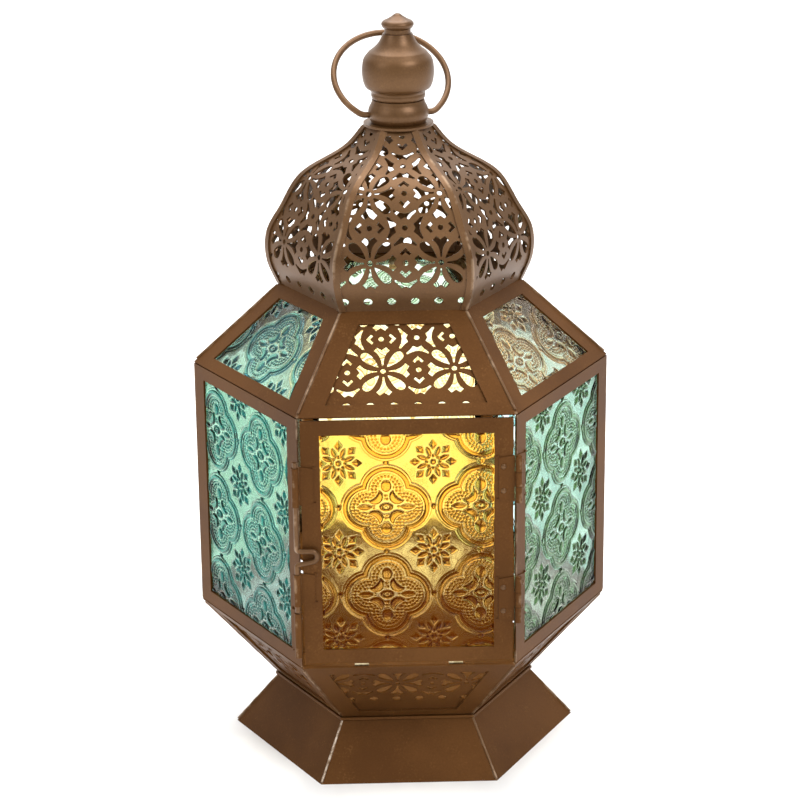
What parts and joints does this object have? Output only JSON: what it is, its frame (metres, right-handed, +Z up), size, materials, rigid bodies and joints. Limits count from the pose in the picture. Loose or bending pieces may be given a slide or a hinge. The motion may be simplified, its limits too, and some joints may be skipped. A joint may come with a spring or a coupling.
{
  "type": "moroccan candle lantern",
  "caption": "Six-sided sheet-metal candle lantern with coloured pressed-glass panes, a pierced onion dome, a hinged door with a wire bolt, a flared foot and a carrying ring.",
  "frame": {"origin": "middle of the bounding box in plan, on the plane of the foot rim", "axes": "+Z up, the door faces -Y, +X to the right of the door"},
  "size_m": [0.15, 0.1329, 0.269],
  "materials": {
    "bronze_paint": "satin antique bronze paint",
    "tin": "bare tinned strip",
    "glass_amber": "pressed amber glass",
    "glass_green": "pressed green glass",
    "glass_teal": "pressed teal glass"
  },
  "bodies": {
    "lantern": {"bolt_keeper": "bronze_paint", "dome_crown": "bronze_paint", "dome_gore_back": "bronze_paint", "dome_gore_back_left": "bronze_paint", "dome_gore_back_right": "bronze_paint", "dome_gore_front": "bronze_paint", "dome_gore_front_left": "bronze_paint", "dome_gore_front_right": "bronze_paint", "dome_ribs": "bronze_paint", "door_stops": "tin", "finial_bulb": "bronze_paint", "finial_cap": "bronze_paint", "finial_collar": "bronze_paint", "floor_plate": "bronze_paint", "foot_panels": "bronze_paint", "gallery_frame_back": "bronze_paint", "gallery_frame_back_left": "bronze_paint", "gallery_frame_back_right": "bronze_paint", "gallery_frame_front": "bronze_paint", "gallery_frame_front_left": "bronze_paint", "gallery_frame_front_right": "bronze_paint", "gallery_screens": "bronze_paint", "hinge_leaves_frame": "bronze_paint", "hinge_pins": "bronze_paint", "roof_frame_back": "bronze_paint", "roof_frame_back_left": "bronze_paint", "roof_frame_back_right": "bronze_paint", "roof_frame_front": "bronze_paint", "roof_frame_front_left": "bronze_paint", "roof_frame_front_right": "bronze_paint", "roof_glass_back": "glass_green", "roof_glass_clips": "tin", "roof_glass_front_left": "glass_teal", "roof_glass_front_right": "glass_amber", "roof_screen_back_left": "bronze_paint", "roof_screen_back_right": "bronze_paint", "roof_screen_front": "bronze_paint", "wall_frame_back": "bronze_paint", "wall_frame_back_left": "bronze_paint", "wall_frame_back_right": "bronze_paint", "wall_frame_front_left": "bronze_paint", "wall_frame_front_right": "bronze_paint", "wall_glass_back": "glass_amber", "wall_glass_back_left": "glass_green", "wall_glass_back_right": "glass_teal", "wall_glass_clips": "tin", "wall_glass_front_left": "glass_teal", "wall_glass_front_right": "glass_green"},
    "door": {"bolt_sleeves": "bronze_paint", "door_frame": "bronze_paint", "door_glass": "glass_amber", "door_glass_clips": "tin", "hinge_leaves_door": "bronze_paint"},
    "bolt": {"latch_bolt": "bronze_paint"},
    "ring": {"carry_ring": "bronze_paint"}
  },
  "joints": [
    {"name": "door_swing", "type": "hinge", "parent": "lantern", "child": "door", "pos_m": [0.03822, -0.0662, 0.0968], "axis": [0, 0, 1], "range_deg": [0, 170]},
    {"name": "bolt_slide", "type": "slide", "parent": "door", "child": "bolt", "axis": [0, 0, 1], "range_m": [-0.0026, 0.011]},
    {"name": "ring_swing", "type": "hinge", "parent": "lantern", "child": "ring", "pos_m": [0, 0, 0.2336], "axis": [0.9848, 0.1736, 0], "range_deg": [-55, 155]}
  ]
}
